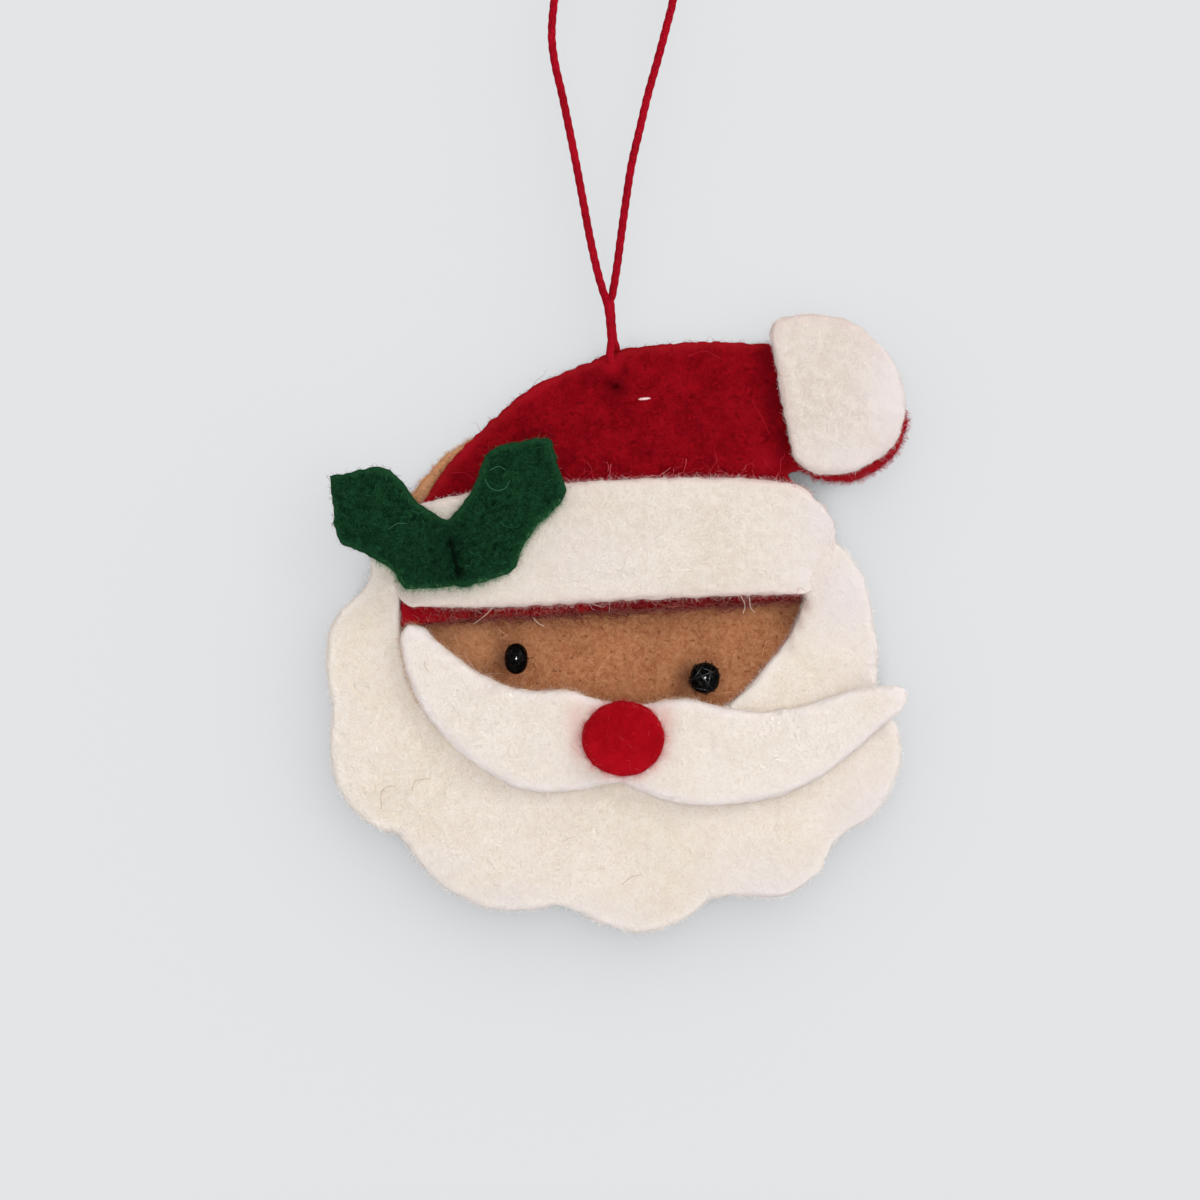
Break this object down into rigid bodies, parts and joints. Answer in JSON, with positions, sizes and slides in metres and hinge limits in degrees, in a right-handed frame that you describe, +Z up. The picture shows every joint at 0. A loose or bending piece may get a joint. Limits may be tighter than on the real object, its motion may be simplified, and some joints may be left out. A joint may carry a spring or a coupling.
{
  "type": "felt christmas ornament",
  "caption": "Flat felt ornament of a bearded head in a stocking cap with bead eyes, layered and glued, hung from a knotted cord loop.",
  "frame": {"origin": "the point inside the top of the cord loop, under its knot, that a hook or twig carries", "axes": "+Z up along the hanging loop, the face looks along -Y, and +X is to the right of a viewer in front"},
  "size_m": [0.0929, 0.01, 0.1825],
  "materials": {
    "tan_felt": "matte wool felt",
    "red_felt": "matte wool felt",
    "white_felt": "matte wool felt",
    "nose_felt": "matte wool felt",
    "green_felt": "matte wool felt",
    "cord": "twisted cotton cord",
    "dark_thread": "sewing thread",
    "pale_thread": "sewing thread",
    "bead": "polished",
    "glue": "set fabric glue"
  },
  "bodies": {
    "loop": {"loop_left_strand": "cord", "loop_right_strand": "cord", "loop_knot": "cord"},
    "neck_top": {"neck_upper": "cord"},
    "neck_base": {"neck_lower": "cord"},
    "ornament": {"face_panel": "tan_felt", "hat": "red_felt", "beard": "white_felt", "brim": "white_felt", "bobble": "white_felt", "moustache": "white_felt", "nose": "nose_felt", "holly": "green_felt", "right_eye": "bead", "left_eye_thread": "dark_thread", "right_eye_thread": "dark_thread", "holly_stitch": "dark_thread", "hat_stitch": "pale_thread", "cord_saddle": "cord", "hat_glue": "glue", "beard_glue": "glue", "brim_glue": "glue", "bobble_glue": "glue", "moustache_glue": "glue", "nose_glue": "glue", "holly_glue": "glue"},
    "left_bead": {"left_eye": "bead"}
  },
  "joints": [
    {"name": "loop_twist", "type": "hinge", "parent": "loop", "child": "neck_top", "pos_m": [-0.00155, 0, -0.07005], "axis": [0, 0, 1], "range_deg": [-180, 180]},
    {"name": "loop_tilt", "type": "hinge", "parent": "neck_top", "child": "neck_base", "pos_m": [-0.0013, 0, -0.072], "axis": [1, 0, 0], "range_deg": [-120, 120]},
    {"name": "loop_sway", "type": "hinge", "parent": "neck_base", "child": "ornament", "pos_m": [-0.0009, 0, -0.07651], "axis": [0, 1, 0], "range_deg": [-60, 60]},
    {"name": "left_eye_spin", "type": "hinge", "parent": "ornament", "child": "left_bead", "pos_m": [-0.0163, -0.0013, -0.12779], "axis": [1, 0, 0], "continuous": true}
  ]
}
